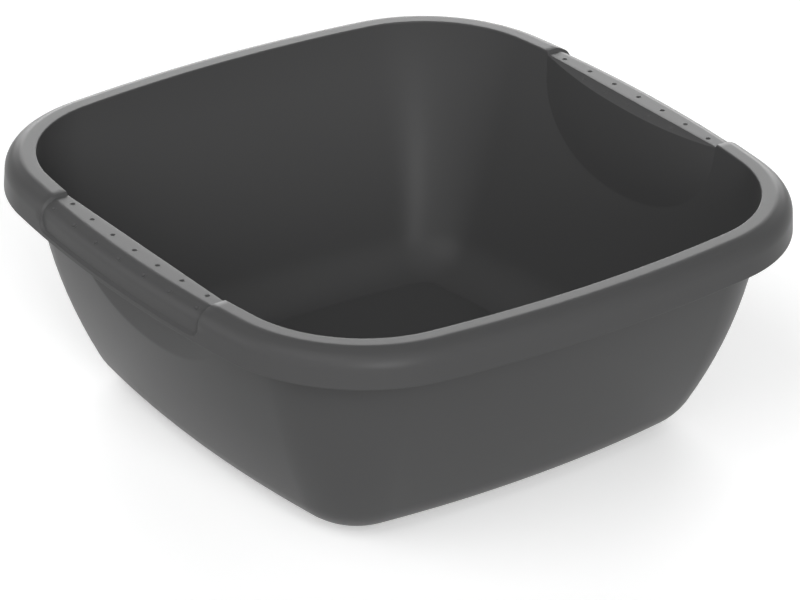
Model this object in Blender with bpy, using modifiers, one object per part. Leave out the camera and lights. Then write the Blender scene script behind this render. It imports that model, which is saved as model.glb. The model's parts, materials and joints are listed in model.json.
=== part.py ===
"""Square basin: one plastic moulding with a turned-down rim and two finger grips.

Units are metres, +Z is up. The basin stands on Z = 0 with its centre on the Z axis, and the two
grips are on the +X and -X sides. Depths are measured down from the top of the rim, and outsets
are measured outwards, square to the mouth's edge.

The shell is a loft. One section is worked out at each station round a quarter of the basin, the
sections are joined, and the quarter is mirrored in X and in Y. Small spheres then cut the grips'
dimples.
"""

from dataclasses import dataclass
from math import acos, asin, atan2, cos, pi, radians, sin, sqrt, tan

import bmesh
import bpy
from mathutils import Matrix, Vector

# Overall sizes
OVERALL_WIDTH = 0.380
OVERALL_HEIGHT = 0.146
WALL_THICKNESS = 0.002

# Mouth: a square with bowed sides, at the inner edge of the rim
MOUTH_SIDE_RADIUS = 0.810
MOUTH_CORNER_RADIUS = 0.0746
MOUTH_EDGE_RADIUS = 0.0008

# Rim: flat top, shoulder, sloping facet, shoulder, skirt
RIM_PROJECTION = 0.0186
RIM_FLAT_WIDTH = 0.007
UPPER_SHOULDER_RADIUS = 0.0068
FACET_SLOPE = radians(26.5)
LOWER_SHOULDER_RADIUS = 0.0098
SKIRT_DEPTH = 0.0207
SKIRT_LEAN = radians(3.6)
ROOT_FILLET = 0.0012

# Wall and floor: the wall is an arc that leans in further as it goes down
WALL_TOP_LEAN = radians(4.3)
WALL_CURVE_RADIUS = 0.3355
BASE_FILLET_RADIUS = 0.038
BASE_SIDE_RADIUS = 0.735
BASE_CORNER_RADIUS = 0.0395
PLATEAU_OVERLAP = 0.004
PLATEAU_RISE = 0.0015
PLATEAU_EDGE_RUN = 0.0008

# Foot: a flat ring round a shallow recess in the underside
FOOT_RING_WIDTH = 0.0044
FOOT_RECESS_CORNER_RADIUS = 0.016

# Grips: a sunk panel over the rim, and a ledge and scoop inside the mouth
GRIP_CORNER_CLEARANCE = 0.024
GRIP_RECESS = 0.00175
GRIP_STEP_RUN = 0.0014
GRIP_CORNER_RADIUS = 0.0062
GRIP_STRIP_HEIGHT = 0.0032
GRIP_STRIP_CHAMFER = 0.0004
LEDGE_WIDTH = 0.0091
LEDGE_SLOPE = radians(23.0)
SCOOP_DEPTH = 0.060
SCOOP_END_DROP = 0.005
SCOOP_EXPONENT = 2.15

# Dimples: a row on the grip's top, a row on its outer face and a row on the ledge
DIMPLE_WIDTH = 0.003
DIMPLE_DEPTH = 0.00065
RIM_DIMPLE_COUNT = 7
TOP_DIMPLE_PITCH = 0.0219
TOP_DIMPLE_OUTSET = 0.0027
FACE_DIMPLE_PITCH = 0.0234
FACE_DIMPLE_OUTSET = 0.0125
LEDGE_DIMPLE_COUNT = 5
LEDGE_DIMPLE_PITCH = 0.0203
LEDGE_DIMPLE_INSET = 0.00575

# How finely the surface is drawn
GRIP_STEPS = 8
SIDE_STEPS_BESIDE_GRIP = 2
PLAIN_SIDE_STEPS = 3
CORNER_STEPS = 6
UPPER_SHOULDER_STEPS = 2
LOWER_SHOULDER_STEPS = 3
SCOOP_STEPS = 3
INNER_WALL_STEPS = 4
OUTER_WALL_STEPS = 3
FILLET_STEPS = 5
DIMPLE_SIDES = 8
DIMPLE_RINGS = 6
MERGE_DISTANCE = 0.00001
SHARP_ANGLE = radians(30.0)

# Shares of the piece's own thickness or width
LEDGE_ROUNDING_SHARE = 1.0 / 3.0

# Sizes that follow from those above
MOUTH_HALF_WIDTH = OVERALL_WIDTH / 2 - RIM_PROJECTION
FLOOR_DEPTH = OVERALL_HEIGHT - WALL_THICKNESS
PLATEAU_DEPTH = FLOOR_DEPTH - PLATEAU_RISE
SCOOP_END_DEPTH = GRIP_RECESS + SCOOP_END_DROP
DIMPLE_SPHERE_RADIUS = ((DIMPLE_WIDTH / 2) ** 2 + DIMPLE_DEPTH ** 2) / (2 * DIMPLE_DEPTH)
QUARTER_TURN = pi / 2


@dataclass(frozen=True)
class Outline:
    """A square with bowed sides and round corners, seen from above."""

    half_width: float
    side_radius: float
    corner_radius: float

    def grown(self, outset):
        """Return the outline that runs parallel to this one, further out by outset."""
        return Outline(
            self.half_width + outset,
            self.side_radius + outset,
            self.corner_radius + outset,
        )

    def corner_centre(self):
        """Return the X (and Y) of the corner arc's centre."""
        bow = self.side_radius - self.half_width
        reach = self.side_radius - self.corner_radius
        return (sqrt(2 * reach ** 2 - bow ** 2) - bow) / 2

    def corner_start_angle(self):
        """Return the angle at which the side arc runs into the corner arc."""
        return asin(self.corner_centre() / (self.side_radius - self.corner_radius))

    def side_end(self):
        """Return the Y at which the side arc runs into the corner arc."""
        return self.side_radius * sin(self.corner_start_angle())

    def side_x(self, y):
        """Return the X of the side arc at a given Y."""
        return self.half_width - self.side_radius + sqrt(self.side_radius ** 2 - y ** 2)


MOUTH = Outline(MOUTH_HALF_WIDTH, MOUTH_SIDE_RADIUS, MOUTH_CORNER_RADIUS)
GRIP_HALF_LENGTH = MOUTH.side_end() - GRIP_CORNER_CLEARANCE


@dataclass(frozen=True)
class Station:
    """A place along the outline where one section stands.

    Stations on the side hold y, their place along the mouth's edge, and stations in the corner
    hold turn, the share of the way from the end of the side to the diagonal. Across the diagonal
    the outline is the same with X and Y exchanged.
    """

    y: float = 0.0
    turn: float = 0.0
    across: bool = False
    on_grip: bool = False
    beside_grip: bool = False

    def place(self, outline, depth, follow=1.0):
        """Return this station's point on an outline at a depth below the rim.

        follow is 1 where the stations spread out with the outline, and 0 where they keep their
        distance from the middle of the side, as the straight-ended grip does.
        """
        if self.turn > 0:
            start = outline.corner_start_angle()
            angle = start + (QUARTER_TURN / 2 - start) * self.turn
            centre = outline.corner_centre()
            x = centre + outline.corner_radius * cos(angle)
            y = centre + outline.corner_radius * sin(angle)
        else:
            spread = outline.side_end() / MOUTH.side_end()
            y = self.y * (1 + (spread - 1) * follow)
            x = outline.side_x(y)
        if self.across:
            x, y = y, x
        return Vector((x, y, OVERALL_HEIGHT - depth))

    def rim_follow(self):
        """Return how far this station spreads with the outline on the rim and the scoop."""
        return 0.0 if self.on_grip or self.beside_grip else 1.0


def stations():
    """Return the stations from the middle of the +X side to the middle of the +Y side."""
    found = []
    for step in range(GRIP_STEPS + 1):
        y = GRIP_HALF_LENGTH * sin(QUARTER_TURN * step / GRIP_STEPS)
        found.append(Station(y=y, on_grip=True))
    step_end = GRIP_HALF_LENGTH + GRIP_STEP_RUN
    found.append(Station(y=step_end, beside_grip=True))
    side_end = MOUTH.side_end()
    for step in range(1, SIDE_STEPS_BESIDE_GRIP + 1):
        share = step / SIDE_STEPS_BESIDE_GRIP
        found.append(Station(y=step_end + (side_end - step_end) * share))
    for step in range(1, CORNER_STEPS + 1):
        found.append(Station(turn=step / CORNER_STEPS))
    for step in range(CORNER_STEPS - 1, 0, -1):
        found.append(Station(turn=step / CORNER_STEPS, across=True))
    for step in range(PLAIN_SIDE_STEPS, -1, -1):
        found.append(Station(y=side_end * step / PLAIN_SIDE_STEPS, across=True))
    return found


def steps_between(start, end, count):
    """Return count values that lead from start to end, without start itself."""
    return [start + (end - start) * step / count for step in range(1, count + 1)]


def wall_angle(depth):
    """Return the wall's lean at a depth, on its inner surface."""
    return asin(sin(WALL_TOP_LEAN) + depth / WALL_CURVE_RADIUS)


def fillet_start_angle():
    """Return the wall's lean where the base fillet begins."""
    rise = FLOOR_DEPTH - BASE_FILLET_RADIUS + WALL_CURVE_RADIUS * sin(WALL_TOP_LEAN)
    return asin(rise / (WALL_CURVE_RADIUS - BASE_FILLET_RADIUS))


def wall_depth(angle):
    """Return the depth at which the wall's inner surface has a given lean."""
    return WALL_CURVE_RADIUS * (sin(angle) - sin(WALL_TOP_LEAN))


def wall_outline(angle):
    """Return the inner outline of the wall where it has a given lean."""
    share = wall_depth(angle) / wall_depth(fillet_start_angle())
    inset = WALL_CURVE_RADIUS * (cos(WALL_TOP_LEAN) - cos(angle))
    return Outline(
        MOUTH_HALF_WIDTH - inset,
        MOUTH_SIDE_RADIUS + (BASE_SIDE_RADIUS - MOUTH_SIDE_RADIUS) * share,
        MOUTH_CORNER_RADIUS + (BASE_CORNER_RADIUS - MOUTH_CORNER_RADIUS) * share,
    )


def fillet_outline(angle):
    """Return the inner outline of the base fillet where it has a given lean."""
    start = fillet_start_angle()
    return wall_outline(start).grown(-BASE_FILLET_RADIUS * (cos(start) - cos(angle)))


def fillet_depth(angle):
    """Return the depth at which the base fillet's inner surface has a given lean."""
    return FLOOR_DEPTH - BASE_FILLET_RADIUS * (1 - sin(angle))


def rim_shoulders(inset, lowest=SKIRT_DEPTH):
    """Return the points of both shoulders on a rim profile that lies inset inside the outer one.

    They are pairs of outset and depth, from the flat top outwards. The lower shoulder's radius
    is kept small enough for it to end above the depth called lowest.
    """
    radius = UPPER_SHOULDER_RADIUS - inset
    upper = [
        (RIM_FLAT_WIDTH + radius * sin(angle), UPPER_SHOULDER_RADIUS - radius * cos(angle))
        for angle in [0.0] + steps_between(0.0, FACET_SLOPE, UPPER_SHOULDER_STEPS)
    ]
    facet_outset, facet_depth = upper[-1]
    skirt_outset = RIM_PROJECTION - inset / cos(SKIRT_LEAN)
    across = (skirt_outset - facet_outset) * cos(SKIRT_LEAN)
    down = (SKIRT_DEPTH - facet_depth) * sin(SKIRT_LEAN)
    run = (across - down) / cos(FACET_SLOPE + SKIRT_LEAN)
    corner_outset = facet_outset + run * cos(FACET_SLOPE)
    corner_depth = facet_depth + run * sin(FACET_SLOPE)
    skirt_slope = QUARTER_TURN - SKIRT_LEAN
    half_turn = (skirt_slope - FACET_SLOPE) / 2
    room = (lowest - corner_depth) / cos(SKIRT_LEAN)
    tangent = min((LOWER_SHOULDER_RADIUS - inset) * tan(half_turn), room)
    lower_radius = tangent / tan(half_turn)
    centre_outset = corner_outset - tangent * cos(FACET_SLOPE) - lower_radius * sin(FACET_SLOPE)
    centre_depth = corner_depth - tangent * sin(FACET_SLOPE) + lower_radius * cos(FACET_SLOPE)
    lower = [
        (centre_outset + lower_radius * sin(angle), centre_depth - lower_radius * cos(angle))
        for angle in [FACET_SLOPE] + steps_between(FACET_SLOPE, skirt_slope, LOWER_SHOULDER_STEPS)
    ]
    return upper + lower


def skirt_point(depth, inset=0.0):
    """Return the outset and depth of a point on the skirt, inset inside its outer face."""
    outset = RIM_PROJECTION - (SKIRT_DEPTH - depth) * tan(SKIRT_LEAN)
    return outset - inset / cos(SKIRT_LEAN), depth


def panel_bottom(y):
    """Return the depth of the grip panel's lower edge, which rises at its round corners."""
    bottom = SKIRT_DEPTH - GRIP_STRIP_HEIGHT
    into_corner = y - (GRIP_HALF_LENGTH - GRIP_CORNER_RADIUS)
    if into_corner <= 0:
        return bottom
    return bottom - GRIP_CORNER_RADIUS + sqrt(max(GRIP_CORNER_RADIUS ** 2 - into_corner ** 2, 0))


def ledge_width(y):
    """Return the width of the ledge inside the mouth, which narrows to nothing at the grip's ends.

    Seen from above, the ledge lies between the mouth's edge and an arc that bows the other way.
    """
    middle = MOUTH_HALF_WIDTH - LEDGE_WIDTH
    rise = MOUTH.side_x(GRIP_HALF_LENGTH) - middle
    radius = (GRIP_HALF_LENGTH ** 2 + rise ** 2) / (2 * rise)
    edge_x = middle + radius - sqrt(radius ** 2 - y ** 2)
    return max(MOUTH.side_x(y) - edge_x, 0.0)


def scoop_bottom(y):
    """Return the depth at which the scoop runs out into the wall."""
    share = 1 - min(y / GRIP_HALF_LENGTH, 1.0) ** SCOOP_EXPONENT
    return SCOOP_END_DEPTH + (SCOOP_DEPTH - SCOOP_END_DEPTH) * share ** (1 / SCOOP_EXPONENT)


def scoop_crease_angle(station):
    """Return the wall's lean where the scoop runs out into it at a station."""
    return wall_angle(scoop_bottom(station.y) if station.on_grip else SCOOP_END_DEPTH)


def rim_points(station):
    """Return the rim's outer points at a station, from the skirt's lower edge to the mouth."""
    follow = station.rim_follow()
    recess = GRIP_RECESS if station.on_grip else 0.0
    bottom = panel_bottom(station.y)
    panel_start = skirt_point(bottom - GRIP_STRIP_CHAMFER, recess)
    profile = [skirt_point(SKIRT_DEPTH), skirt_point(bottom), panel_start]
    profile += reversed(rim_shoulders(recess, panel_start[1] - GRIP_STRIP_CHAMFER))
    return [station.place(MOUTH.grown(outset), depth, follow) for outset, depth in profile]


def mouth_points(station):
    """Return the points over the mouth's edge and down to the top of the scoop.

    Without a ledge the edge is a small quarter round. Where there is a ledge, the same points
    cross the ridge, run down the ledge and turn over its lower edge.
    """
    recess = GRIP_RECESS if station.on_grip else 0.0
    width = ledge_width(station.y) if station.on_grip else 0.0
    edge = MOUTH_EDGE_RADIUS
    open_share = min(width * LEDGE_ROUNDING_SHARE / edge, 1.0)
    shut_share = 1 - open_share
    turn_over = edge * open_share
    bevel = edge * (1 - cos(QUARTER_TURN / 2)) * shut_share
    fall = tan(LEDGE_SLOPE)
    profile = [
        (edge, recess),
        (bevel, recess + bevel + turn_over * fall / 4),
        (-turn_over, recess + turn_over * fall + edge * shut_share),
        (turn_over - width, recess + (width - turn_over) * fall + 2 * edge * shut_share),
        (-width, recess + width * fall + turn_over + 3 * edge * shut_share),
    ]
    points = []
    for outset, depth in profile:
        if station.on_grip:
            outline = MOUTH.grown(outset)
        else:
            outline = wall_outline(wall_angle(depth)).grown(max(outset, 0.0))
        points.append(station.place(outline, depth, station.rim_follow()))
    return points


def inner_wall_points(station, top):
    """Return the points from the top of the scoop down the wall and base fillet to the floor."""
    crease_angle = scoop_crease_angle(station)
    crease = station.place(
        wall_outline(crease_angle), wall_depth(crease_angle), station.rim_follow()
    )
    points = [top.lerp(crease, share) for share in steps_between(0.0, 1.0, SCOOP_STEPS)]
    fillet_start = fillet_start_angle()
    for share in steps_between(0.0, 1.0, INNER_WALL_STEPS):
        angle = crease_angle + (fillet_start - crease_angle) * share
        follow = max(station.rim_follow(), share)
        points.append(station.place(wall_outline(angle), wall_depth(angle), follow))
    plateau_angle = acos(PLATEAU_OVERLAP / BASE_FILLET_RADIUS)
    for angle in steps_between(fillet_start, plateau_angle, FILLET_STEPS):
        points.append(station.place(fillet_outline(angle), fillet_depth(angle)))
    plateau = fillet_outline(plateau_angle).grown(-PLATEAU_EDGE_RUN)
    points.append(station.place(plateau, PLATEAU_DEPTH))
    return points


def under_rim_points(station):
    """Return the points under the rim, from the skirt's lower edge in to the wall."""
    follow = station.rim_follow()
    recess = GRIP_RECESS if station.on_grip else 0.0
    width = ledge_width(station.y) if station.on_grip else 0.0
    bottom = panel_bottom(station.y)
    inset = recess + WALL_THICKNESS
    step_start = skirt_point(bottom + WALL_THICKNESS / 2, WALL_THICKNESS)
    step_end = skirt_point(bottom, inset)
    profile = [skirt_point(SKIRT_DEPTH, WALL_THICKNESS), step_start, step_end]
    profile += reversed(rim_shoulders(inset, bottom - GRIP_STRIP_CHAMFER))
    corner = WALL_THICKNESS - width
    ridge = max(WALL_THICKNESS * tan(LEDGE_SLOPE / 2), corner + 2 * ROOT_FILLET)
    under_edge = corner + ROOT_FILLET
    fall = WALL_THICKNESS / cos(LEDGE_SLOPE) - under_edge * tan(LEDGE_SLOPE)
    under_depth = recess + max(fall, WALL_THICKNESS) if width > 0 else inset
    profile += [(ridge, inset), (under_edge, under_depth), (corner, under_depth + ROOT_FILLET)]
    return [station.place(MOUTH.grown(outset), depth, follow) for outset, depth in profile]


def outer_wall_points(station, top):
    """Return the points from under the rim down the outside of the wall to the underside."""
    crease_angle = scoop_crease_angle(station)
    crease = station.place(
        wall_outline(crease_angle).grown(WALL_THICKNESS * cos(crease_angle)),
        wall_depth(crease_angle) + WALL_THICKNESS * sin(crease_angle),
        station.rim_follow(),
    )
    points = [top.lerp(crease, share) for share in steps_between(0.0, 1.0, SCOOP_STEPS)]
    fillet_start = fillet_start_angle()
    for share in steps_between(0.0, 1.0, OUTER_WALL_STEPS):
        angle = crease_angle + (fillet_start - crease_angle) * share
        outline = wall_outline(angle).grown(WALL_THICKNESS * cos(angle))
        depth = wall_depth(angle) + WALL_THICKNESS * sin(angle)
        points.append(station.place(outline, depth, max(station.rim_follow(), share)))
    for angle in steps_between(fillet_start, QUARTER_TURN, FILLET_STEPS):
        outline = fillet_outline(angle).grown(WALL_THICKNESS * cos(angle))
        depth = fillet_depth(angle) + WALL_THICKNESS * sin(angle)
        points.append(station.place(outline, depth))
    foot = fillet_outline(QUARTER_TURN).grown(-FOOT_RING_WIDTH)
    recess = Outline(foot.half_width, foot.side_radius, FOOT_RECESS_CORNER_RADIUS)
    points.append(station.place(recess, OVERALL_HEIGHT))
    points.append(station.place(recess.grown(-PLATEAU_RISE), PLATEAU_DEPTH + WALL_THICKNESS))
    return points


def section(station):
    """Return a station's section, as its upper and its lower points, both from the skirt inwards."""
    upper = rim_points(station) + mouth_points(station)
    upper += inner_wall_points(station, upper[-1])
    lower = under_rim_points(station)
    lower += outer_wall_points(station, lower[-1])
    return upper, lower


def loft_quarter():
    """Return a mesh of one quarter of the basin, open at its two planes of symmetry."""
    mesh = bpy.data.meshes.new("basin")
    model = bmesh.new()
    sections = []
    for station in stations():
        upper, lower = section(station)
        loop = list(reversed(lower)) + upper
        sections.append([model.verts.new(point) for point in loop])
    for here, there in zip(sections, sections[1:]):
        for row in range(len(here) - 1):
            model.faces.new((here[row], there[row], there[row + 1], here[row + 1]))
    roof_centre = model.verts.new((0, 0, OVERALL_HEIGHT - PLATEAU_DEPTH - WALL_THICKNESS))
    plateau_centre = model.verts.new((0, 0, OVERALL_HEIGHT - PLATEAU_DEPTH))
    model.faces.new([roof_centre] + [loop[0] for loop in reversed(sections)])
    model.faces.new([plateau_centre] + [loop[-1] for loop in sections])
    model.to_mesh(mesh)
    model.free()
    return mesh


def dimple_places(count, pitch):
    """Return the places of a row of dimples along the side, evenly about its middle."""
    return [(step - (count - 1) / 2) * pitch for step in range(count)]


def dimple_centre(outset, depth, slope, y):
    """Return the centre of a dimple's sphere and the way the +X grip's surface faces below it.

    outset, depth and y give the dimple's place on the surface, and slope is how steeply the
    surface falls away from the mouth there.
    """
    outline = MOUTH.grown(outset)
    outward = asin(y / outline.side_radius)
    facing = Vector((sin(slope) * cos(outward), sin(slope) * sin(outward), cos(slope)))
    spot = Vector((outline.side_x(y), y, OVERALL_HEIGHT - depth))
    return spot + facing * (DIMPLE_SPHERE_RADIUS - DIMPLE_DEPTH), facing


def rim_dimples(outset, pitch):
    """Return the sphere centres and directions of a row of dimples over the rim."""
    profile = [(MOUTH_EDGE_RADIUS, GRIP_RECESS)] + rim_shoulders(GRIP_RECESS)
    pieces = zip(profile, profile[1:])
    (near, near_depth), (far, far_depth) = [ends for ends in pieces if ends[0][0] <= outset][-1]
    slope = atan2(far_depth - near_depth, far - near)
    depth = near_depth + (outset - near) * tan(slope)
    places = dimple_places(RIM_DIMPLE_COUNT, pitch)
    return [dimple_centre(outset, depth, slope, y) for y in places]


def ledge_dimples():
    """Return the sphere centres and directions of the dimples on the ledge, in a straight row."""
    found = []
    for y in dimple_places(LEDGE_DIMPLE_COUNT, LEDGE_DIMPLE_PITCH):
        outset = MOUTH_HALF_WIDTH - LEDGE_DIMPLE_INSET - MOUTH.side_x(y)
        depth = GRIP_RECESS - outset * tan(LEDGE_SLOPE)
        found.append(dimple_centre(outset, depth, -LEDGE_SLOPE, y))
    return found


def add_dimple_cutter(collection):
    """Add the dimples' cutter to a collection: a small sphere for each dimple, in one object."""
    rows = rim_dimples(TOP_DIMPLE_OUTSET, TOP_DIMPLE_PITCH)
    rows += rim_dimples(FACE_DIMPLE_OUTSET, FACE_DIMPLE_PITCH)
    rows += ledge_dimples()
    up = Vector((0, 0, 1))
    model = bmesh.new()
    for centre, facing in rows:
        for mirror in (Vector((1, 1, 1)), Vector((-1, 1, 1))):
            turn = up.rotation_difference(facing * mirror).to_matrix().to_4x4()
            bmesh.ops.create_uvsphere(
                model,
                u_segments=DIMPLE_SIDES,
                v_segments=DIMPLE_RINGS,
                radius=DIMPLE_SPHERE_RADIUS,
                matrix=Matrix.Translation(centre * mirror) @ turn,
            )
    cutter = bpy.data.objects.new("dimple_cutter", bpy.data.meshes.new("dimple_cutter"))
    model.to_mesh(cutter.data)
    model.free()
    collection.objects.link(cutter)
    cutter.hide_render = True
    cutter.display_type = "WIRE"
    return cutter


def plastic():
    """Return the moulding's material, a dark grey plastic with a soft sheen."""
    material = bpy.data.materials.new("dark_grey_plastic")
    material.use_nodes = True
    shader = material.node_tree.nodes["Principled BSDF"]
    shader.inputs["Base Color"].default_value = (0.06, 0.06, 0.0605, 1.0)
    shader.inputs["Roughness"].default_value = 0.42
    shader.inputs["Metallic"].default_value = 0.0
    return material


def add_basin(collection, dimple_cutter):
    """Add the basin to a collection: the lofted quarter, mirrored twice and dimpled."""
    basin = bpy.data.objects.new("basin", loft_quarter())
    collection.objects.link(basin)
    basin.data.materials.append(plastic())
    mirror = basin.modifiers.new("other_quarters", "MIRROR")
    mirror.use_axis = (True, True, False)
    mirror.use_mirror_merge = True
    mirror.merge_threshold = MERGE_DISTANCE
    dimples = basin.modifiers.new("dimples", "BOOLEAN")
    dimples.operation = "DIFFERENCE"
    dimples.solver = "EXACT"
    dimples.object = dimple_cutter
    basin.data.shade_smooth()
    basin.data.set_sharp_from_angle(angle=SHARP_ANGLE)
    return basin


def main():
    """Clear the scene and build the basin."""
    for item in list(bpy.data.objects):
        bpy.data.objects.remove(item)
    collection = bpy.data.collections.new("square_basin")
    cutters = bpy.data.collections.new("cutters")
    bpy.context.scene.collection.children.link(collection)
    bpy.context.scene.collection.children.link(cutters)
    add_basin(collection, add_dimple_cutter(cutters))


main()
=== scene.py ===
"""Looks of the square basin: a fine mesh of the moulding, its plastic finish and a soft studio.

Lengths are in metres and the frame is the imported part's own: +Z up, the foot on Z = 0, and the two
grips on the +X and -X sides. Depths run down from the top of the rim, and outsets run outwards,
square to the mouth's edge.
"""

import json
import logging
from dataclasses import dataclass, field
from enum import Enum
from functools import cache
from math import acos, asin, atan2, cos, pi, radians, sin, sqrt, tan

import bmesh
import bpy
from mathutils import Matrix, Vector

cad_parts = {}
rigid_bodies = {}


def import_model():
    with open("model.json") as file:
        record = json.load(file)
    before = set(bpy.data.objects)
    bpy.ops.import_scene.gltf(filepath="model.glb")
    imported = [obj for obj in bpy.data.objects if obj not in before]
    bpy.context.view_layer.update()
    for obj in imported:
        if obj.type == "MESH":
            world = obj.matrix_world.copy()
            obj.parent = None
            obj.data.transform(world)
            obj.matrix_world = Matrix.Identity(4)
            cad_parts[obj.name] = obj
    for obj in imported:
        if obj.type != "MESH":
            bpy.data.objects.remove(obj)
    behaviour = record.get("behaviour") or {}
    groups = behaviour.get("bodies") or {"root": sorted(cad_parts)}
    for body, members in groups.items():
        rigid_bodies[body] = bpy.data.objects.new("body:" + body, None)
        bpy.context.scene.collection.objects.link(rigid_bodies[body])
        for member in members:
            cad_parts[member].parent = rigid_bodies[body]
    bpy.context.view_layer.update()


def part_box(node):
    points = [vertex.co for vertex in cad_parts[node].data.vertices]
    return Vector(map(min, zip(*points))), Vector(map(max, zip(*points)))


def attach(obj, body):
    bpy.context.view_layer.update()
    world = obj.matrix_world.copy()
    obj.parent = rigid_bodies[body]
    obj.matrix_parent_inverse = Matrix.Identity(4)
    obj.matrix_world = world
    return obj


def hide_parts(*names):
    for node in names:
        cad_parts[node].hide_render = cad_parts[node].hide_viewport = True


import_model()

LOG = logging.getLogger("square_basin")
CAD_NODE = "basin"
BODY = "root"
QUARTER_TURN = pi / 2
WHITE = (1.0, 1.0, 1.0, 1.0)
MIDDLE_OF_NOISE = 0.5

Point = tuple[float, float, float]
Profile = list[tuple[float, float]]


class Skin(Enum):
    """The two skins of the moulding: the one that is seen from above, and the one behind it."""

    UPPER = "upper"
    LOWER = "lower"


def smooth_step(value: float) -> float:
    """Ease a value between 0 and 1, and hold it at 0 below them and at 1 above."""
    value = min(max(value, 0.0), 1.0)
    return value * value * (3 - 2 * value)


def spread(start: float, end: float, count: int) -> list[float]:
    """Return count + 1 evenly spaced values from start to end, both included."""
    return [start + (end - start) * step / count for step in range(count + 1)]


@dataclass(frozen=True)
class Outline:
    """A square with bowed sides and round corners, seen from above."""

    half_width: float
    side_radius: float
    corner_radius: float

    def grown(self, outset: float) -> "Outline":
        """Return the outline that runs parallel to this one, further out by outset."""
        sizes = (self.half_width, self.side_radius, self.corner_radius)
        return Outline(*(size + outset for size in sizes))

    def corner_centre(self) -> float:
        """Find the centre of the corner arc, which touches the side arcs.

        Returns:
            The centre's X, which is its Y too.
        """
        bow = self.side_radius - self.half_width
        reach = self.side_radius - self.corner_radius
        return (sqrt(2 * reach ** 2 - bow ** 2) - bow) / 2

    def corner_start_angle(self) -> float:
        """Return the angle at which the side arc runs into the corner arc."""
        return asin(self.corner_centre() / (self.side_radius - self.corner_radius))

    def side_end(self) -> float:
        """Return the Y at which the side arc runs into the corner arc."""
        return self.side_radius * sin(self.corner_start_angle())

    def side_x(self, y: float) -> float:
        """Return the X of the side arc at a given Y."""
        return self.half_width - self.side_radius + sqrt(self.side_radius ** 2 - y ** 2)


@dataclass(frozen=True)
class Station:
    """A place along a quarter of the outline where one section of the moulding stands.

    Stations on the side hold y, their place along the mouth's edge. Stations in the corner hold
    turn, the share of the way from the side's end to the diagonal. Past the diagonal X and Y are
    exchanged, and across is set.
    """

    y: float = 0.0
    turn: float = 0.0
    across: bool = False

    def on_outline(self, outline: Outline, y_scale: float) -> tuple[float, float]:
        """Find this station's point on an outline.

        Args:
            outline: the outline that the point lies on.
            y_scale: how far a station on the side moves along with the side's end.

        Returns:
            The point's X and Y.
        """
        if self.turn > 0:
            start = outline.corner_start_angle()
            angle = start + (QUARTER_TURN / 2 - start) * self.turn
            centre = outline.corner_centre()
            x = centre + outline.corner_radius * cos(angle)
            y = centre + outline.corner_radius * sin(angle)
        else:
            y = self.y * y_scale
            x = outline.side_x(y)
        return (y, x) if self.across else (x, y)


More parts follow.
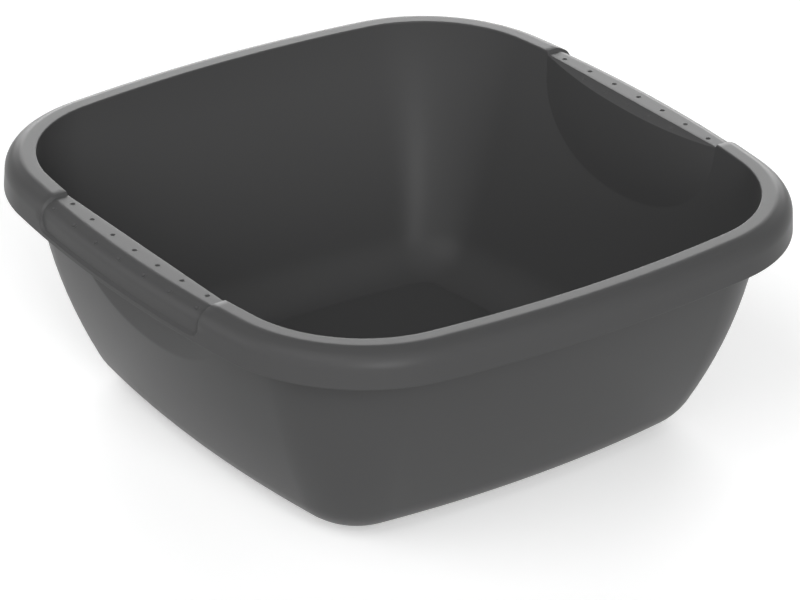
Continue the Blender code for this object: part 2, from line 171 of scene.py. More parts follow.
@dataclass
class Rim:
    """The turned-down rim: flat top, shoulder, sloping facet, shoulder and skirt.

    The skirt's rows are split where a grip's panel ends, above the strip along its foot. The bend
    share keeps the underside's bend below a ledge clear of where the underside begins.
    """

    thickness: float = 0.002
    projection: float = 0.0186
    flat_width: float = 0.0070
    edge_radius: float = 0.0008
    upper_radius: float = 0.0068
    facet_slope: float = radians(26.5)
    lower_radius: float = 0.0098
    skirt_depth: float = 0.0207
    skirt_lean: float = radians(3.6)
    lip_radius: float = 0.0005
    root_fillet: float = 0.0012
    flat_rows: int = 4
    shoulder_rows: int = 10
    facet_rows: int = 3
    skirt_rows: int = 11
    strip_rows: int = 8
    lip_rows: int = 3
    root_rows: int = 5
    strip_split_depth: float = 0.0182
    bend_share: float = 0.2

    def shoulders(self, inset: float) -> Profile:
        """Work out the profile from the flat top's outer end to the lower shoulder's end.

        Args:
            inset: how far the profile lies inside the rim's outer face.

        Returns:
            Pairs of outset and depth.
        """
        radius = self.upper_radius - inset
        lower_radius = self.lower_radius - inset
        upper = [
            (self.flat_width + radius * sin(angle), self.upper_radius - radius * cos(angle))
            for angle in spread(0.0, self.facet_slope, self.shoulder_rows)
        ]
        facet_outset, facet_depth = upper[-1]
        skirt_outset = self.projection - inset / cos(self.skirt_lean)
        over = (skirt_outset - facet_outset) * cos(self.skirt_lean)
        down = (self.skirt_depth - facet_depth) * sin(self.skirt_lean)
        run = (over - down) / cos(self.facet_slope + self.skirt_lean)
        skirt_slope = QUARTER_TURN - self.skirt_lean
        along = run - lower_radius * tan((skirt_slope - self.facet_slope) / 2)
        start_outset = facet_outset + along * cos(self.facet_slope)
        start_depth = facet_depth + along * sin(self.facet_slope)
        centre_outset = start_outset - lower_radius * sin(self.facet_slope)
        centre_depth = start_depth + lower_radius * cos(self.facet_slope)
        facet = [
            (
                facet_outset + (start_outset - facet_outset) * share,
                facet_depth + (start_depth - facet_depth) * share,
            )
            for share in spread(0.0, 1.0, self.facet_rows)[1:]
        ]
        lower = [
            (centre_outset + lower_radius * sin(angle), centre_depth - lower_radius * cos(angle))
            for angle in spread(self.facet_slope, skirt_slope, self.shoulder_rows)[1:]
        ]
        return upper + facet + lower

    def skirt_outset(self, depth: float, inset: float) -> float:
        """Return the outset of the skirt's face at a depth, inset inside its outer face."""
        outer = self.projection - (self.skirt_depth - depth) * tan(self.skirt_lean)
        return outer - inset / cos(self.skirt_lean)

    def profile(self, inset: float, flat_start: float) -> Profile:
        """Work out a whole rim profile, from the inner end of the flat top to the skirt's foot.

        Args:
            inset: how far the profile lies inside the rim's outer face.
            flat_start: the outset at which the flat top begins.

        Returns:
            Pairs of outset and depth.
        """
        shoulders = self.shoulders(inset)
        flat = [(outset, inset) for outset in spread(flat_start, self.flat_width, self.flat_rows)]
        last = self.skirt_depth - self.lip_radius
        depths = spread(shoulders[-1][1], self.strip_split_depth, self.skirt_rows)[1:]
        depths += spread(self.strip_split_depth, last, self.strip_rows)[1:]
        return flat[:-1] + shoulders + [(self.skirt_outset(d, inset), d) for d in depths]

    def under_ledge(self, profile: Profile, start: float, ridge: float, grip: "Grip") -> Profile:
        """Let the underside of the flat top run on below a ledge's slope.

        Args:
            profile: the underside's profile, which begins with the flat top.
            start: the outset at which the underside begins.
            ridge: the outset of the ledge's ridge, below 0 inside the mouth's edge.
            grip: the grip that the ledge belongs to.

        Returns:
            The same profile with its flat rows laid under the ledge.
        """
        bend = self.thickness * (1 / cos(grip.ledge_slope) - 1) / tan(grip.ledge_slope)
        near_start = start + (self.flat_width - start) * self.bend_share
        middle = max(ridge + bend, near_start)
        half = self.flat_rows // 2
        outsets = spread(start, middle, half)[:-1] + spread(middle, self.flat_width, half)[:-1]
        flat = [(x, grip.recess + grip.underside(x - ridge, self)) for x in outsets]
        return flat + profile[len(flat):]

    def lip(self) -> Profile:
        """Make the rounded foot of the skirt, from its outer face to its inner face.

        Returns:
            Pairs of outset and depth.
        """
        outer = self.skirt_outset(self.skirt_depth, 0.0)
        inner = self.skirt_outset(self.skirt_depth, self.thickness)
        radius, depth = self.lip_radius, self.skirt_depth
        angles = spread(0.0, QUARTER_TURN, self.lip_rows)[1:]
        out = [(outer - radius * (1 - cos(a)), depth - radius * (1 - sin(a))) for a in angles]
        back = [(inner + radius * (1 - sin(a)), depth - radius * (1 - cos(a))) for a in angles]
        return out + back


@dataclass
class Grip:
    """A finger grip: a sunk panel over the rim, and a ledge and scoop inside the mouth."""

    corner_clearance: float = 0.024
    recess: float = 0.00175
    step_run: float = 0.0014
    panel_corner_radius: float = 0.0062
    strip_height: float = 0.0032
    ridge_end_inset: float = 0.0004
    ledge_width: float = 0.00435
    ledge_exponent: float = 2.2
    ledge_slope: float = radians(45.0)
    scoop_depth: float = 0.060
    scoop_end_drop: float = 0.005
    scoop_exponent: float = 2.15
    crease_blend: float = 0.0012
    dimple_width: float = 0.003
    dimple_depth: float = 0.00065

    def half_length(self, mouth: Outline) -> float:
        """Return half the grip's length along the mouth's edge."""
        return mouth.side_end() - self.corner_clearance

    def end_share(self, y: float, mouth: Outline) -> float:
        """Return 1 on the grip, easing to 0 over the step at its end."""
        return 1 - smooth_step((abs(y) - self.half_length(mouth)) / self.step_run)

    def panel_share(self, y: float, depth: float, mouth: Outline, rim: Rim) -> float:
        """Tell how far a point of the rim is sunk into the grip's panel.

        Args:
            y: the point's place along the side.
            depth: the point's depth on the rim that isn't sunk.
            mouth: the mouth's outline.
            rim: the rim that the panel is sunk into.

        Returns:
            1 on the panel, 0 off it, and between them over the step that borders it.
        """
        radius = self.panel_corner_radius
        half = self.half_length(mouth) + self.step_run
        bottom = rim.skirt_depth - self.strip_height + self.step_run / 2
        over = abs(y) - (half - radius)
        below = depth - (bottom - radius)
        outside = sqrt(max(over, 0.0) ** 2 + max(below, 0.0) ** 2)
        distance = outside + min(max(over, below), 0.0) - radius
        return smooth_step(-distance / self.step_run)

    def ridge_inset(self, y: float, mouth: Outline) -> float:
        """Return how far inside the mouth's bowed edge the straight ridge of the ledge runs."""
        bow = mouth.side_x(y) - mouth.side_x(self.half_length(mouth))
        return (max(bow, 0.0) + self.ridge_end_inset) * self.end_share(y, mouth)

    def width_at(self, y: float, mouth: Outline) -> float:
        """Return the ledge's width, which narrows to nothing at the grip's ends."""
        share = min(abs(y) / self.half_length(mouth), 1.0)
        return self.ledge_width * (1 - share ** self.ledge_exponent)

    def underside(self, from_ridge: float, rim: Rim) -> float:
        """Return how far the underside lies below the grip's top, at an outset from the ridge."""
        slope = rim.thickness / cos(self.ledge_slope) - from_ridge * tan(self.ledge_slope)
        return max(slope, rim.thickness)

    def scoop_bottom(self, y: float, mouth: Outline) -> float:
        """Find how far down the scoop reaches. Its lower edge is a rounded arch.

        Args:
            y: the place along the side.
            mouth: the mouth's outline.

        Returns:
            The depth at which the scoop runs out into the wall.
        """
        end = self.recess + self.scoop_end_drop
        share = 1 - min(abs(y) / self.half_length(mouth), 1.0) ** self.scoop_exponent
        return end + (self.scoop_depth - end) * share ** (1 / self.scoop_exponent)


@dataclass(frozen=True)
class GripCut:
    """What a grip changes at one station, all of it 0 where there is no grip."""

    recess: float = 0.0
    ridge: float = 0.0
    width: float = 0.0


@dataclass
class Bowl:
    """The wall, base fillet and floor, as arcs of the inner surface, and the foot below them.

    The edges of the raised floor and of the recess below it are given as pairs of shares: how far
    in each row lies, and how far up.
    """

    top_lean: float = radians(4.3)
    wall_radius: float = 0.3355
    fillet_radius: float = 0.038
    base_side_radius: float = 0.735
    base_corner_radius: float = 0.0395
    plateau_overlap: float = 0.004
    plateau_rise: float = 0.0015
    plateau_edge_run: float = 0.0008
    foot_ring_width: float = 0.0044
    foot_recess_corner_radius: float = 0.016
    wall_rows: int = 12
    fillet_rows: int = 13
    plateau_edge_shares: tuple[tuple[float, float], ...] = (
        (0.45, 0.55), (0.7, 0.85), (1.0, 0.98), (1.6, 1.0),
    )
    recess_edge_shares: tuple[tuple[float, float], ...] = (
        (0.0, 0.0), (0.15, 0.05), (0.85, 0.95), (1.0, 1.0),
    )

    def wall_angle(self, depth: float) -> float:
        """Return the wall's lean at a depth."""
        return asin(sin(self.top_lean) + depth / self.wall_radius)

    def wall_depth(self, angle: float) -> float:
        """Return the depth at which the wall has a given lean."""
        return self.wall_radius * (sin(angle) - sin(self.top_lean))

    def fillet_start(self, floor_depth: float) -> float:
        """Return the wall's lean where the base fillet begins."""
        rise = floor_depth - self.fillet_radius + self.wall_radius * sin(self.top_lean)
        return asin(rise / (self.wall_radius - self.fillet_radius))


@dataclass
class DimpleRow:
    """A row of dimples along a grip, at an outset on the rim or some way down the ledge."""

    count: int
    pitch: float
    outset: float = 0.0
    ledge_run: float = 0.0

    def places(self) -> list[float]:
        """Return the dimples' places along the side, evenly about its middle."""
        return [(step - (self.count - 1) / 2) * self.pitch for step in range(self.count)]


@dataclass
class Basin:
    """The whole moulding, as one fine closed mesh."""

    half_width: float
    height: float
    rim: Rim = field(default_factory=Rim)
    grip: Grip = field(default_factory=Grip)
    bowl: Bowl = field(default_factory=Bowl)
    mouth_side_radius: float = 0.810
    mouth_corner_radius: float = 0.0746
    dimple_rows: tuple[DimpleRow, ...] = (
        DimpleRow(7, 0.0219, outset=0.0027),  # on the grip's top
        DimpleRow(7, 0.0234, outset=0.0125),  # on its outer face
        DimpleRow(5, 0.02025, ledge_run=0.0027),  # on the ledge inside the mouth
    )
    grip_steps: int = 24
    grip_end_steps: int = 16
    grip_end_length: float = 0.0085
    step_steps: int = 8
    side_steps: int = 6
    plain_side_steps: int = 12
    corner_steps: int = 20
    edge_rows: int = 20
    edge_first_rows: int = 4
    ledge_rows: int = 8
    ledge_fade_width: float = 0.0012
    scoop_rows: int = 8
    crease_rows: int = 6
    cap_shares: tuple[float, ...] = (0.8, 0.55, 0.3)
    cutter_segments: int = 20
    cutter_rings: int = 16
    sharp_angle: float = radians(40.0)

    def __post_init__(self) -> None:
        """Work out the mouth and the depths that the sections share."""
        self.mouth = Outline(
            self.half_width - self.rim.projection,
            self.mouth_side_radius,
            self.mouth_corner_radius,
        )
        self.floor_depth = self.height - self.rim.thickness
        self.plateau_depth = self.floor_depth - self.bowl.plateau_rise
        self.fillet_start = self.bowl.fillet_start(self.floor_depth)
        self.mouth_end = self.mouth.side_end()

    def stations(self) -> list[Station]:
        """Place the stations of one quarter, closest together at the grip's end.

        Returns:
            The stations from the middle of the +X side to the middle of the +Y side.
        """
        half = self.grip.half_length(self.mouth)
        near_end = half - self.grip_end_length
        step_end = half + self.grip.step_run
        places = spread(0.0, near_end, self.grip_steps)
        places += spread(near_end, half, self.grip_end_steps)[1:]
        places += spread(half, step_end, self.step_steps)[1:]
        places += spread(step_end, self.mouth_end, self.side_steps)[1:]
        found = [Station(y=y) for y in places]
        turns = spread(0.0, 1.0, self.corner_steps)[1:]
        found += [Station(turn=turn) for turn in turns]
        found += [Station(turn=turn, across=True) for turn in reversed(turns[:-1])]
        plain = spread(self.mouth_end, 0.0, self.plain_side_steps)
        return found + [Station(y=y, across=True) for y in plain]

    def has_grip(self, station: Station) -> bool:
        """Tell whether a station stands on a grip or on the step at its end."""
        reach = self.grip.half_length(self.mouth) + self.grip.step_run
        return station.turn == 0 and not station.across and station.y <= reach

    def follow(self, station: Station) -> float:
        """Return 0 on a grip, and 1 where a station spreads along with its outline."""
        return 0.0 if self.has_grip(station) else 1.0

    def grip_cut(self, station: Station) -> GripCut:
        """Work out what the grip changes at a station.

        Args:
            station: where the section stands.

        Returns:
            The sinking of the rim's top, and the ridge's outset and the width of the ledge.
        """
        if not self.has_grip(station):
            return GripCut()
        return GripCut(
            recess=self.grip.recess * self.grip.end_share(station.y, self.mouth),
            ridge=-self.grip.ridge_inset(station.y, self.mouth),
            width=self.grip.width_at(station.y, self.mouth),
        )

    def place(self, station: Station, outline: Outline, depth: float, follow: float) -> Point:
        """Find a station's point on an outline at a depth.

        Args:
            station: where the section stands.
            outline: the outline at that depth.
            depth: the depth below the top of the rim.
            follow: 1 where stations on the side spread with the outline, 0 where they don't.

        Returns:
            The point in the part's frame.
        """
        scale = 1 + (outline.side_end() / self.mouth_end - 1) * follow
        x, y = station.on_outline(outline, scale)
        return x, y, self.height - depth

    def mouth_point(self, station: Station, outset: float, depth: float) -> Point:
        """Find a station's point at an outset from the mouth's edge and a depth."""
        return self.place(station, self.mouth.grown(outset), depth, self.follow(station))

    def wall_outline(self, angle: float) -> Outline:
        """Find the wall's inner outline, whose radii change evenly down to those of the base.

        Args:
            angle: the wall's lean.

        Returns:
            The outline at the height where the wall has that lean.
        """
        bowl, side, corner = self.bowl, self.mouth_side_radius, self.mouth_corner_radius
        share = bowl.wall_depth(angle) / bowl.wall_depth(self.fillet_start)
        return Outline(
            self.mouth.half_width - bowl.wall_radius * (cos(bowl.top_lean) - cos(angle)),
            side + (bowl.base_side_radius - side) * share,
            corner + (bowl.base_corner_radius - corner) * share,
        )

    def fillet_outline(self, angle: float) -> Outline:
        """Return the base fillet's inner outline where it has a given lean."""
        inset = self.bowl.fillet_radius * (cos(self.fillet_start) - cos(angle))
        return self.wall_outline(self.fillet_start).grown(-inset)

    def fillet_depth(self, angle: float) -> float:
        """Return the depth at which the base fillet has a given lean."""
        return self.floor_depth - self.bowl.fillet_radius * (1 - sin(angle))

    def rim_points(self, station: Station, skin: Skin) -> list[Point]:
        """Make one skin of the rim at a station, from the flat top outwards.

        Args:
            station: where the section stands.
            skin: the side of the moulding that is wanted.

        Returns:
            The points, from the inner end of the flat top to the skirt's foot.
        """
        rim, grip = self.rim, self.grip
        gripped = self.has_grip(station)
        cut = self.grip_cut(station)
        upper = skin is Skin.UPPER
        inset = 0.0 if upper else rim.thickness
        start = rim.edge_radius + cut.ridge if upper else inset + rim.root_fillet
        plain = rim.profile(inset, start)
        sunk = rim.profile(inset + grip.recess, start)
        if gripped and not upper:
            start += cut.ridge - cut.width
            sunk = rim.under_ledge(sunk, start, cut.ridge, grip)
        points = []
        for (outset, depth), (sunk_outset, sunk_depth) in zip(plain, sunk):
            if gripped:
                share = grip.panel_share(station.y, depth, self.mouth, rim)
                outset += (sunk_outset - outset) * share
                depth += (sunk_depth - depth) * share
            points.append(self.mouth_point(station, outset, depth))
        return points

    def edge_points(self, station: Station) -> list[Point]:
        """Make the mouth's rounded edge at a station, with the ledge that parts it on a grip.

        The edge is a quarter round. On a grip it is parted where it reaches the ledge's slope,
        and the ledge runs between its two halves.

        Args:
            station: where the section stands.

        Returns:
            The points from the flat top to the top of the wall or scoop.
        """
        slope = self.grip.ledge_slope
        cut = self.grip_cut(station)
        opened = smooth_step(cut.width / self.ledge_fade_width)
        radius = self.rim.edge_radius
        length = cut.width / cos(slope)
        end = QUARTER_TURN - self.bowl.top_lean
        first, second = self.edge_first_rows, self.edge_first_rows + self.ledge_rows
        last = self.edge_rows
        points = []
        for row in range(1, last + 1):
            even = end * row / last
            if row <= first:
                parted = slope * row / first
            elif row <= second:
                parted = slope
            else:
                parted = slope + (end - slope) * (row - second) / (last - second)
            angle = even + (parted - even) * opened
            along = length * min(max((row - first) / (second - first), 0.0), 1.0)
            outset = cut.ridge + radius - along * cos(slope) - radius * sin(angle)
            depth = cut.recess + radius + along * sin(slope) - radius * cos(angle)
            points.append(self.mouth_point(station, outset, depth))
        return points

    def crease_angle(self, station: Station) -> float:
        """Return the wall's lean where the scoop, or off the grip its end, runs out into it."""
        y = station.y if self.has_grip(station) else self.mouth_end
        return self.bowl.wall_angle(self.grip.scoop_bottom(y, self.mouth))

    def wall_point(self, station: Station, angle: float, outset: float, follow: float) -> Point:
        """Find a station's point on the wall.

        Args:
            station: where the section stands.
            angle: the wall's lean at the point.
            outset: how far outside the wall's inner surface the point lies.
            follow: 1 where stations on the side spread with the outline, 0 where they don't.

        Returns:
            The point in the part's frame.
        """
        outline = self.wall_outline(angle).grown(outset * cos(angle))
        depth = self.bowl.wall_depth(angle) + outset * sin(angle)
        return self.place(station, outline, depth, follow)

    def wall_points(self, station: Station, top: Point, outset: float) -> list[Point]:
        """Make the scoop, its tight crease and the wall at a station, down to the base fillet.

        Args:
            station: where the section stands.
            top: the point at which the scoop begins.
            outset: 0 for the inner surface, or the thickness for the outer one.

        Returns:
            The points below top.
        """
        follow = self.follow(station)
        angle = self.crease_angle(station)
        start = Vector(top)
        crease = Vector(self.wall_point(station, angle, outset, follow))
        drop = (crease - start).length
        blend = min(self.grip.crease_blend, drop / 2)
        above = crease + (start - crease) * (blend / drop)
        below_angle = self.bowl.wall_angle(self.bowl.wall_depth(angle) + blend)
        below = Vector(self.wall_point(station, below_angle, outset, follow))
        points = [start.lerp(above, share) for share in spread(0.0, 1.0, self.scoop_rows)[1:]]
        for share in spread(0.0, 1.0, self.crease_rows)[1:]:
            first, second = above.lerp(crease, share), crease.lerp(below, share)
            points.append(first.lerp(second, share))
        for share in spread(0.0, 1.0, self.bowl.wall_rows)[1:]:
            lean = below_angle + (self.fillet_start - below_angle) * share
            points.append(self.wall_point(station, lean, outset, max(follow, share)))
        return [tuple(point) for point in points]

    def floor_points(self, station: Station) -> list[Point]:
        """Make the inside of the base fillet and the edge of the raised floor at a station.

        Args:
            station: where the section stands.

        Returns:
            The points, from below the wall to the flat of the raised floor.
        """
        bowl = self.bowl
        foot_angle = acos(bowl.plateau_overlap / bowl.fillet_radius)
        points = [
            self.place(station, self.fillet_outline(angle), self.fillet_depth(angle), 1.0)
            for angle in spread(self.fillet_start, foot_angle, bowl.fillet_rows)[1:]
        ]
        foot = self.fillet_outline(foot_angle)
        rise = self.fillet_depth(foot_angle) - self.plateau_depth
        for run_share, rise_share in bowl.plateau_edge_shares:
            outline = foot.grown(-bowl.plateau_edge_run * run_share)
            depth = self.fillet_depth(foot_angle) - rise * rise_share
            points.append(self.place(station, outline, depth, 1.0))
        return points

    def root_points(self, station: Station) -> list[Point]:
        """Make the fillet under the rim, where it meets the outside of the wall.

        Args:
            station: where the section stands.

        Returns:
            The points, from the rim's underside to the wall.
        """
        rim = self.rim
        cut = self.grip_cut(station)
        radius = rim.root_fillet
        centre_outset = cut.ridge + rim.thickness - cut.width + radius
        under = cut.recess + self.grip.underside(centre_outset - cut.ridge, rim)
        points = []
        for angle in spread(0.0, QUARTER_TURN, rim.root_rows):
            outset = centre_outset - radius * sin(angle)
            depth = under + radius * (1 - cos(angle))
            points.append(self.mouth_point(station, outset, depth))
        return points

    def foot_points(self, station: Station) -> list[Point]:
        """Make the outside of the base fillet, the foot ring and the recess inside it.

        Args:
            station: where the section stands.

        Returns:
            The points, from below the wall to the flat of the recess.
        """
        thickness = self.rim.thickness
        points = []
        for angle in spread(self.fillet_start, QUARTER_TURN, self.bowl.fillet_rows)[1:]:
            outline = self.fillet_outline(angle).grown(thickness * cos(angle))
            depth = self.fillet_depth(angle) + thickness * sin(angle)
            points.append(self.place(station, outline, depth, 1.0))
        ring = self.fillet_outline(QUARTER_TURN).grown(-self.bowl.foot_ring_width)
        inner = Outline(ring.half_width, ring.side_radius, self.bowl.foot_recess_corner_radius)
        rise = self.bowl.plateau_rise
        for inset_share, rise_share in self.bowl.recess_edge_shares:
            outline = inner.grown(-rise * inset_share)
            points.append(self.place(station, outline, self.height - rise * rise_share, 1.0))
        return points

    def section(self, station: Station) -> list[Point]:
        """Make a station's section, from the floor up, over the rim and down to the foot.

        Args:
            station: where the section stands.

        Returns:
            The points, as many at every station.
        """
        edge = self.edge_points(station)
        inner = self.wall_points(station, edge[-1], 0.0) + self.floor_points(station)
        top = list(reversed(edge + inner)) + self.rim_points(station, Skin.UPPER)
        lip = [self.mouth_point(station, outset, depth) for outset, depth in self.rim.lip()]
        under = list(reversed(self.rim_points(station, Skin.LOWER)))
        root = self.root_points(station)
        outer = self.wall_points(station, root[-1], self.rim.thickness)
        return top + lip + under + root[1:] + outer + self.foot_points(station)

    def mesh(self) -> bpy.types.Mesh:
        """Join the sections of all four quarters and close the floor and the underside.

        Returns:
            The closed mesh, with its faces pointing out.
        """
        quarter = [self.section(station) for station in self.stations()]
        back = list(reversed(quarter))[1:]
        loops = list(quarter)
        loops += [[(-x, y, z) for x, y, z in loop] for loop in back]
        loops += [[(-x, -y, z) for x, y, z in loop] for loop in quarter[1:]]
        loops += [[(x, -y, z) for x, y, z in loop] for loop in back[:-1]]
        rows, count = len(quarter[0]), len(loops)
        points = [point for loop in loops for point in loop]
        faces = []
        for here in range(count):
            there = (here + 1) % count
            for row in range(rows - 1):
                low, high = here * rows + row, there * rows + row
                faces.append((low, low + 1, high + 1, high))
        self.add_cap(points, faces, [here * rows for here in range(count)], False)
        self.add_cap(points, faces, [here * rows + rows - 1 for here in range(count)], True)
        mesh = bpy.data.meshes.new("moulded_basin")
        mesh.from_pydata(points, [], faces)
        mesh.validate()
        return mesh

    def add_cap(
        self,
        points: list[Point],
        faces: list[tuple[int, ...]],
        ring: list[int],
        downward: bool,
    ) -> None:
        """Fill a level ring of points with smaller rings and a centre.

        Args:
            points: the mesh's points, which the cap's are added to.
            faces: the mesh's faces, which the cap's are added to.
            ring: the places of the ring's points in points.
            downward: whether the cap faces down.
        """
        outer = ring
        for share in self.cap_shares:
            inner = []
            for place in ring:
                x, y, z = points[place]
                inner.append(len(points))
                points.append((x * share, y * share, z))
            for face in zip(inner, outer, outer[1:] + outer[:1], inner[1:] + inner[:1]):
                faces.append(face[::-1] if downward else face)
            outer = inner
        centre = len(points)
        points.append((0.0, 0.0, points[ring[0]][2]))
        for place, after in zip(outer, outer[1:] + outer[:1]):
            faces.append((centre, after, place) if downward else (centre, place, after))

    def dimple_spot(self, row: DimpleRow, y: float) -> tuple[Vector, Vector]:
        """Find where a dimple sits on the +X grip.

        Args:
            row: the row that the dimple belongs to.
            y: the dimple's place along the side.

        Returns:
            The point on the surface and the surface's outward direction there.
        """
        grip, rim = self.grip, self.rim
        outset = row.outset
        if row.ledge_run > 0:
            outset = -grip.ridge_inset(y, self.mouth) - row.ledge_run * cos(grip.ledge_slope)
            slope = -grip.ledge_slope
            depth = grip.recess + row.ledge_run * sin(grip.ledge_slope)
        else:
            profile = rim.profile(grip.recess, rim.edge_radius)
            after = next(k for k, point in enumerate(profile) if point[0] > outset)
            (near, near_depth), (far, far_depth) = profile[after - 1], profile[after]
            slope = atan2(far_depth - near_depth, far - near)
            depth = near_depth + (outset - near) * tan(slope)
        outline = self.mouth.grown(outset)
        outward = asin(y / outline.side_radius)
        normal = Vector((sin(slope) * cos(outward), sin(slope) * sin(outward), cos(slope)))
        return Vector((outline.side_x(y), y, self.height - depth)), normal

    def dimple_cutter(self) -> bpy.types.Object:
        """Make one object of all the spheres that cut the dimples.

        Returns:
            The object, which isn't linked to the scene.
        """
        grip = self.grip
        half, depth = grip.dimple_width / 2, grip.dimple_depth
        radius = (half ** 2 + depth ** 2) / (2 * depth)
        model = bmesh.new()
        for row in self.dimple_rows:
            for y in row.places():
                spot, normal = self.dimple_spot(row, y)
                centre = spot + normal * (radius - depth)
                for side in (1, -1):
                    turn = Vector((0, 0, 1)).rotation_difference(
                        Vector((normal.x * side, normal.y, normal.z))
                    )
                    where = Matrix.Translation((centre.x * side, centre.y, centre.z))
                    bmesh.ops.create_uvsphere(
                        model,
                        u_segments=self.cutter_segments,
                        v_segments=self.cutter_rings,
                        radius=radius,
                        matrix=where @ turn.to_matrix().to_4x4(),
                    )
        mesh = bpy.data.meshes.new("dimple_cutter")
        model.to_mesh(mesh)
        model.free()
        return bpy.data.objects.new("dimple_cutter", mesh)

    def build(self) -> bpy.types.Object:
        """Build the moulding with its dimples.

        Returns:
            The finished object, linked to the scene.
        """
        basin = bpy.data.objects.new("moulded_basin", self.mesh())
        scene_objects = bpy.context.scene.collection.objects
        scene_objects.link(basin)
        cutter = self.dimple_cutter()
        scene_objects.link(cutter)
        cut = basin.modifiers.new("dimples", "BOOLEAN")
        cut.operation = "DIFFERENCE"
        cut.object = cutter
        depsgraph = bpy.context.evaluated_depsgraph_get()
        finished = bpy.data.meshes.new_from_object(basin.evaluated_get(depsgraph))
        basin.modifiers.clear()
        basin.data = finished
        bpy.data.objects.remove(cutter)
        finished.name = "moulded_basin"
        finished.shade_smooth()
        finished.set_sharp_from_angle(angle=self.sharp_angle)
        return basin

    @staticmethod
    def dress(piece: bpy.types.Object, finish: "MouldedPlastic") -> None:
        """Give the moulding its finish."""
        piece.data.materials.clear()
        piece.data.materials.append(finish.material())


def new_group(
    name: str, inputs: dict[str, float], outputs: tuple[str, ...]
) -> bpy.types.NodeTree:
    """Make an empty shader node group whose sockets carry plain values.

    Args:
        name: the group's name.
        inputs: each input's name and its default value.
        outputs: the outputs' names.

    Returns:
        The group, with an input node and an output node in it.
    """
    group = bpy.data.node_groups.new(name, "ShaderNodeTree")
    for title, value in inputs.items():
        socket = group.interface.new_socket(title, in_out="INPUT", socket_type="NodeSocketFloat")
        socket.default_value = value
    for title in outputs:
        group.interface.new_socket(title, in_out="OUTPUT", socket_type="NodeSocketFloat")
    group.nodes.new("NodeGroupInput").name = "In"
    group.nodes.new("NodeGroupOutput").name = "Out"
    return group


def add_noise(group: bpy.types.NodeTree, scale: str, detail: float) -> bpy.types.NodeSocket:
    """Add a noise that is fixed to the object to a group.

    Args:
        group: the group.
        scale: the name of the group's input that holds the noise's scale.
        detail: how many finer layers the noise has.

    Returns:
        The socket that carries the noise.
    """
    place = group.nodes.new("ShaderNodeTexCoord")
    noise = group.nodes.new("ShaderNodeTexNoise")
    noise.inputs["Detail"].default_value = detail
    group.links.new(place.outputs["Object"], noise.inputs["Vector"])
    group.links.new(group.nodes["In"].outputs[scale], noise.inputs["Scale"])
    return noise.outputs["Fac"]


@cache
def moulding_grain_group() -> bpy.types.NodeTree:
    """Build, once, the very fine, even grain that the mould leaves on plastic.

    Returns:
        The group, whose height goes into a bump.
    """
    group = new_group(
        "moulding_grain",
        {"Grain Scale": 1400.0, "Flow Scale": 45.0, "Flow Share": 0.3},
        ("Height",),
    )
    nodes, links = group.nodes, group.links
    mix = nodes.new("ShaderNodeMix")
    links.new(nodes["In"].outputs["Flow Share"], mix.inputs["Factor"])
    links.new(add_noise(group, "Grain Scale", detail=2.0), mix.inputs["A"])
    links.new(add_noise(group, "Flow Scale", detail=1.0), mix.inputs["B"])
    links.new(mix.outputs["Result"], nodes["Out"].inputs["Height"])
    return group


@cache
def pigment_group() -> bpy.types.NodeTree:
    """Build, once, the faint clouding of pigment and gloss that a large moulding shows.

    Returns:
        The group, whose shade multiplies the colour.
    """
    group = new_group(
        "pigment_clouding",
        {
            "Cloud Scale": 9.0,
            "Shade": 1.0,
            "Shade Change": 0.02,
            "Roughness": 0.4,
            "Roughness Change": 0.03,
        },
        ("Shade", "Roughness"),
    )
    nodes, links = group.nodes, group.links
    centred = nodes.new("ShaderNodeMath")
    centred.operation = "SUBTRACT"
    centred.inputs[1].default_value = MIDDLE_OF_NOISE
    links.new(add_noise(group, "Cloud Scale", detail=3.0), centred.inputs[0])
    for result in ("Shade", "Roughness"):
        clouded = nodes.new("ShaderNodeMath")
        clouded.operation = "MULTIPLY_ADD"
        links.new(centred.outputs[0], clouded.inputs[0])
        links.new(nodes["In"].outputs[f"{result} Change"], clouded.inputs[1])
        links.new(nodes["In"].outputs[result], clouded.inputs[2])
        links.new(clouded.outputs[0], nodes["Out"].inputs[result])
    return group


@dataclass(frozen=True)
class MouldedPlastic:
    """A semi-matte moulded plastic, with its grain and its faint clouding."""

    name: str
    colour: tuple[float, float, float]
    roughness: float
    specular_level: float
    roughness_change: float
    shade_change: float
    grain_depth: float

    def material(self) -> bpy.types.Material:
        """Build the material.

        Returns:
            A Principled material whose colour, roughness and bump come from the shared groups.
        """
        material = bpy.data.materials.new(self.name)
        material.use_nodes = True
        nodes, links = material.node_tree.nodes, material.node_tree.links
        shader = nodes["Principled BSDF"]
        shader.inputs["Specular IOR Level"].default_value = self.specular_level
        clouding = nodes.new("ShaderNodeGroup")
        clouding.node_tree = pigment_group()
        clouding.inputs["Shade Change"].default_value = self.shade_change
        clouding.inputs["Roughness"].default_value = self.roughness
        clouding.inputs["Roughness Change"].default_value = self.roughness_change
        tint = nodes.new("ShaderNodeVectorMath")
        tint.operation = "SCALE"
        tint.inputs[0].default_value = self.colour
        links.new(clouding.outputs["Shade"], tint.inputs["Scale"])
        links.new(tint.outputs["Vector"], shader.inputs["Base Color"])
        links.new(clouding.outputs["Roughness"], shader.inputs["Roughness"])
        grain = nodes.new("ShaderNodeGroup")
        grain.node_tree = moulding_grain_group()
        bump = nodes.new("ShaderNodeBump")
        bump.inputs["Distance"].default_value = self.grain_depth
        links.new(grain.outputs["Height"], bump.inputs["Height"])
        links.new(bump.outputs["Normal"], shader.inputs["Normal"])
        return material


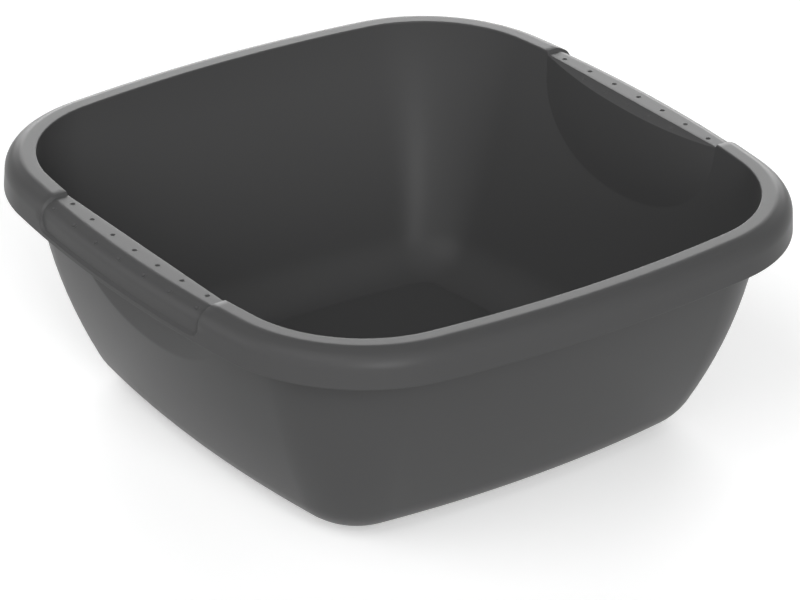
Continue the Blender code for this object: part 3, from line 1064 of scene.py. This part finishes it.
def seen_directly(tree: bpy.types.NodeTree) -> bpy.types.NodeSocket:
    """Tell the rays that show a surface from those that only carry its light.

    Args:
        tree: the node tree to add to.

    Returns:
        A socket that is 1 for camera, glossy and transmission rays, and 0 for others.
    """
    path = tree.nodes.new("ShaderNodeLightPath")
    seen = path.outputs["Is Camera Ray"]
    for kind in ("Is Glossy Ray", "Is Transmission Ray"):
        either = tree.nodes.new("ShaderNodeMath")
        either.operation = "MAXIMUM"
        tree.links.new(seen, either.inputs[0])
        tree.links.new(path.outputs[kind], either.inputs[1])
        seen = either.outputs[0]
    return seen


@dataclass(frozen=True)
class DullWhite:
    """A dull finish that shows plain white, dimmed only by the shadows on it."""

    name: str
    colour: tuple[float, float, float, float]
    roughness: float
    specular_level: float
    glow: float

    def material(self) -> bpy.types.Material:
        """Build the material.

        Returns:
            A Principled material with a glow for the rays that show it.
        """
        material = bpy.data.materials.new(self.name)
        material.use_nodes = True
        nodes, links = material.node_tree.nodes, material.node_tree.links
        shader = nodes["Principled BSDF"]
        shader.inputs["Base Color"].default_value = self.colour
        shader.inputs["Roughness"].default_value = self.roughness
        shader.inputs["Specular IOR Level"].default_value = self.specular_level
        emission = nodes.new("ShaderNodeEmission")
        strength = nodes.new("ShaderNodeMath")
        strength.operation = "MULTIPLY"
        strength.inputs[1].default_value = self.glow
        links.new(seen_directly(material.node_tree), strength.inputs[0])
        links.new(strength.outputs[0], emission.inputs["Strength"])
        both = nodes.new("ShaderNodeAddShader")
        links.new(shader.outputs["BSDF"], both.inputs[0])
        links.new(emission.outputs["Emission"], both.inputs[1])
        links.new(both.outputs["Shader"], nodes["Material Output"].inputs["Surface"])
        return material


@dataclass(frozen=True)
class Lamp:
    """A broad soft lamp that stands far off, with its angles in degrees.

    The azimuth is counted from +X towards +Y, the elevation from the floor, and the breadth is the
    angle that the lamp takes up in the sky.
    """

    name: str
    azimuth: float
    elevation: float
    strength: float
    breadth: float = 45.0

    def build(self) -> bpy.types.Object:
        """Build the lamp.

        Returns:
            The lamp, which shines from its azimuth and elevation and isn't linked to the scene.
        """
        data = bpy.data.lights.new(self.name, "SUN")
        data.energy = self.strength
        data.angle = radians(self.breadth)
        lamp = bpy.data.objects.new(self.name, data)
        azimuth, elevation = radians(self.azimuth), radians(self.elevation)
        level = cos(elevation)
        towards = Vector((cos(azimuth) * level, sin(azimuth) * level, sin(elevation)))
        lamp.rotation_mode = "QUATERNION"
        lamp.rotation_quaternion = towards.to_track_quat("Z", "Y")
        return lamp


@dataclass
class Studio:
    """A pale floor, white surroundings, broad soft lamps and the camera.

    The camera's values were solved from the outlines of the basin in the photograph, and the
    strengths of the lamps from its shading. The camera's azimuth is counted from -Y towards +X,
    and its lens and sensor are in millimetres.
    """

    camera_azimuth: float = radians(-36.888)
    camera_elevation: float = radians(27.613)
    camera_roll: float = radians(1.219)
    camera_distance: float = 2.2283
    camera_target: tuple[float, float, float] = (-0.09257, -0.12920, 0.146)
    lens: float = 191.25
    sensor_width: float = 36.0
    dome_strength: float = 0.03
    lamps: tuple[Lamp, ...] = (
        Lamp("far_lamp", 53.0, 12.0, 2.75),
        Lamp("left_low_lamp", 143.0, 12.0, 0.90),
        Lamp("left_high_lamp", 188.0, 52.0, 1.00),
        Lamp("near_lamp", 233.0, 35.0, 0.55),
        Lamp("window_low_lamp", 251.0, 15.0, 1.75, 22.0),
        Lamp("window_high_lamp", 257.0, 35.0, 0.45, 16.0),
        Lamp("right_lamp", 278.0, 60.0, 0.30),
    )
    floor_size: float = 40.0
    floor_finish: DullWhite = DullWhite(
        name="white_floor",
        colour=(0.9, 0.9, 0.9, 1.0),
        roughness=1.0,
        specular_level=0.0,
        glow=0.32,
    )

    def add_camera(self) -> None:
        """Place the camera at the angle from which the basin is seen."""
        azimuth, level = self.camera_azimuth, cos(self.camera_elevation)
        back = Vector((sin(azimuth) * level, -cos(azimuth) * level, sin(self.camera_elevation)))
        right = Vector((cos(azimuth), sin(azimuth), 0.0))
        up = back.cross(right)
        rolled_right = right * cos(self.camera_roll) + up * sin(self.camera_roll)
        rolled_up = up * cos(self.camera_roll) - right * sin(self.camera_roll)
        data = bpy.data.cameras.new("camera")
        data.lens = self.lens
        data.sensor_width = self.sensor_width
        camera = bpy.data.objects.new("camera", data)
        turn = Matrix((rolled_right, rolled_up, back)).transposed().to_4x4()
        where = Vector(self.camera_target) + back * self.camera_distance
        camera.matrix_world = Matrix.Translation(where) @ turn
        bpy.context.scene.collection.objects.link(camera)
        bpy.context.scene.camera = camera

    def add_world(self) -> None:
        """Give a faint even light from all round, and show plain white behind the basin."""
        world = bpy.data.worlds.new("white_surroundings")
        bpy.context.scene.world = world
        world.use_nodes = True
        nodes, links = world.node_tree.nodes, world.node_tree.links
        background = nodes["Background"]
        background.inputs["Color"].default_value = WHITE
        strength = nodes.new("ShaderNodeMix")
        strength.inputs["A"].default_value = self.dome_strength
        strength.inputs["B"].default_value = 1.0
        links.new(seen_directly(world.node_tree), strength.inputs["Factor"])
        links.new(strength.outputs["Result"], background.inputs["Strength"])

    def add_lamps(self) -> None:
        """Add the broad lamps."""
        for lamp in self.lamps:
            bpy.context.scene.collection.objects.link(lamp.build())

    def add_floor(self) -> None:
        """Lay a large white floor under the basin."""
        model = bmesh.new()
        bmesh.ops.create_grid(model, x_segments=1, y_segments=1, size=self.floor_size / 2)
        mesh = bpy.data.meshes.new("floor")
        model.to_mesh(mesh)
        model.free()
        floor = bpy.data.objects.new("floor", mesh)
        bpy.context.scene.collection.objects.link(floor)
        mesh.materials.append(self.floor_finish.material())

    def build(self) -> None:
        """Set up the whole studio."""
        self.add_camera()
        self.add_world()
        self.add_lamps()
        self.add_floor()
        bpy.context.scene.view_settings.view_transform = "Standard"


DARK_GREY_PLASTIC = MouldedPlastic(
    name="dark_grey_plastic",
    colour=(0.060, 0.060, 0.0605),
    roughness=0.36,
    specular_level=0.08,
    roughness_change=0.03,
    shade_change=0.02,
    grain_depth=0.00002,
)


def main() -> None:
    """Build the studio and the basin, and dress the basin."""
    logging.basicConfig(level=logging.INFO, format="%(name)s: %(message)s")
    Studio().build()
    low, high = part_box(CAD_NODE)
    basin = Basin(half_width=high.x, height=high.z - low.z)
    piece = basin.build()
    basin.dress(piece, DARK_GREY_PLASTIC)
    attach(piece, BODY)
    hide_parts(CAD_NODE)
    LOG.info("%s: %d faces", piece.name, len(piece.data.polygons))


if __name__ == "__main__":
    main()
